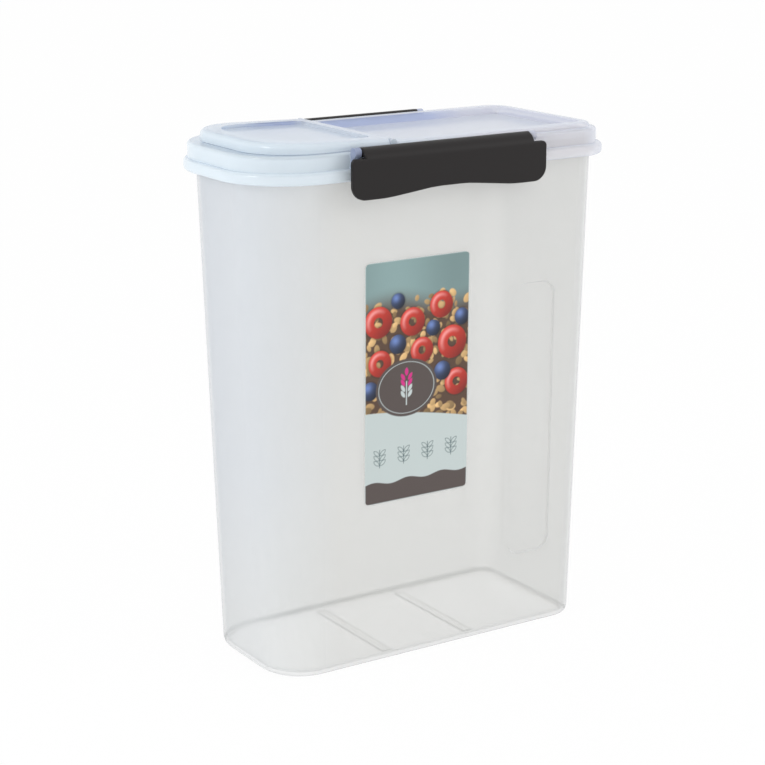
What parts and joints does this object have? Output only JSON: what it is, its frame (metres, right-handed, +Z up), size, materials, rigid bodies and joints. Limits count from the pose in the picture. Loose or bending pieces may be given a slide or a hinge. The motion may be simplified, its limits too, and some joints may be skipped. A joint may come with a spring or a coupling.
{
  "type": "cereal container",
  "caption": "Tall tapered translucent dry-food container with a stepped clip-down lid, a pour flap hinged across one end of the lid and a long hooked clip on each long side.",
  "frame": {"origin": "on the standing surface, under the middle of the lid's outline", "axes": "+X from the strongly rounded end with the pour flap to the squarer end, +Y from the front wall with the label to the back wall, +Z up"},
  "size_m": [0.2212, 0.1184, 0.2849],
  "materials": {
    "container_plastic": "translucent natural polypropylene, satin to gloss",
    "lid_plastic": "translucent polypropylene with a faint blue tint, gloss",
    "clip_plastic": "charcoal polypropylene, fine matt",
    "seal_silicone": "white silicone rubber",
    "label_film": null
  },
  "bodies": {
    "container": {"container_body": "container_plastic", "front_label": "label_film"},
    "lid": {"lid": "lid_plastic", "lid_seal": "seal_silicone"},
    "pour_flap": {"pour_flap": "lid_plastic"},
    "front_clip": {"front_clip": "clip_plastic"},
    "back_clip": {"back_clip": "clip_plastic"}
  },
  "joints": [
    {"name": "lid_lift", "type": "slide", "parent": "container", "child": "lid", "axis": [0, 0, 1], "range_m": [0, 0.03]},
    {"name": "flap_hinge", "type": "hinge", "parent": "lid", "child": "pour_flap", "pos_m": [-0.0276, 0, 0.2811], "axis": [0, 1, 0], "range_deg": [0, 110]},
    {"name": "front_clip_hinge", "type": "hinge", "parent": "lid", "child": "front_clip", "pos_m": [0, -0.0528, 0.2788], "axis": [-1, 0, 0], "range_deg": [0, 120]},
    {"name": "back_clip_hinge", "type": "hinge", "parent": "lid", "child": "back_clip", "pos_m": [0, 0.0528, 0.2788], "axis": [1, 0, 0], "range_deg": [0, 120]}
  ],
  "couplings": [
    {"joint": "front_clip_hinge", "follows": "lid_lift", "rad_per_m": 69.8},
    {"joint": "back_clip_hinge", "follows": "lid_lift", "rad_per_m": 69.8}
  ]
}
